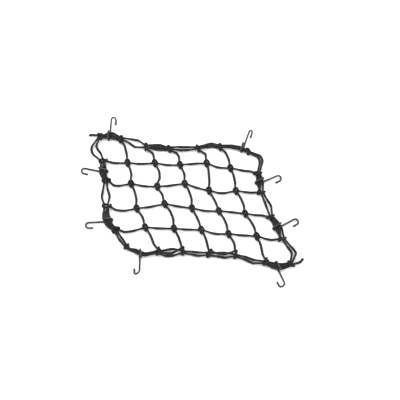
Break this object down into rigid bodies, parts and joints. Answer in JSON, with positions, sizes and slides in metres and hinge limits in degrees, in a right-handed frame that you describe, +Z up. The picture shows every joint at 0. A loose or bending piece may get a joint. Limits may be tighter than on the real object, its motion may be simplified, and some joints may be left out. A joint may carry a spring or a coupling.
{
  "type": "cargo net",
  "caption": "Flat elastic cargo net of knotted cord with a doubled perimeter cord and wire hooks round the edge, spread out on a surface.",
  "frame": {"origin": "on the surface that the net lies on, under the middle of its box", "axes": "+X along the rows, +Y along the columns towards the top edge of the net, +Z up from the surface"},
  "size_m": [0.4147, 0.3625, 0.0165],
  "materials": {
    "cord": "braided polyester sleeve over a rubber core, matt charcoal black",
    "wire": "steel wire in a smooth black dipped coating, satin"
  },
  "bodies": {
    "root": {"column_1": "cord", "column_2": "cord", "column_3": "cord", "column_4": "cord", "column_5": "cord", "row_1": "cord", "row_2": "cord", "row_3": "cord", "row_4": "cord", "edge_top_outer": "cord", "edge_top_inner": "cord", "edge_right_outer": "cord", "edge_right_inner": "cord", "edge_bottom_outer": "cord", "edge_bottom_inner": "cord", "edge_left_outer": "cord", "edge_left_inner": "cord", "turn_top_0_1": "cord", "turn_top_2_3": "cord", "turn_top_4_5": "cord", "turn_right_1_2": "cord", "turn_right_3_4": "cord", "turn_bottom_6_5": "cord", "turn_bottom_4_3": "cord", "turn_bottom_2_1": "cord", "turn_left_4_3": "cord", "turn_left_2_1": "cord", "hook_top_left": "wire", "hook_top_right": "wire", "hook_right_upper": "wire", "hook_right_lower": "wire", "hook_bottom_right": "wire", "hook_bottom_left": "wire", "hook_left_lower": "wire", "hook_left_upper": "wire"}
  },
  "joints": []
}
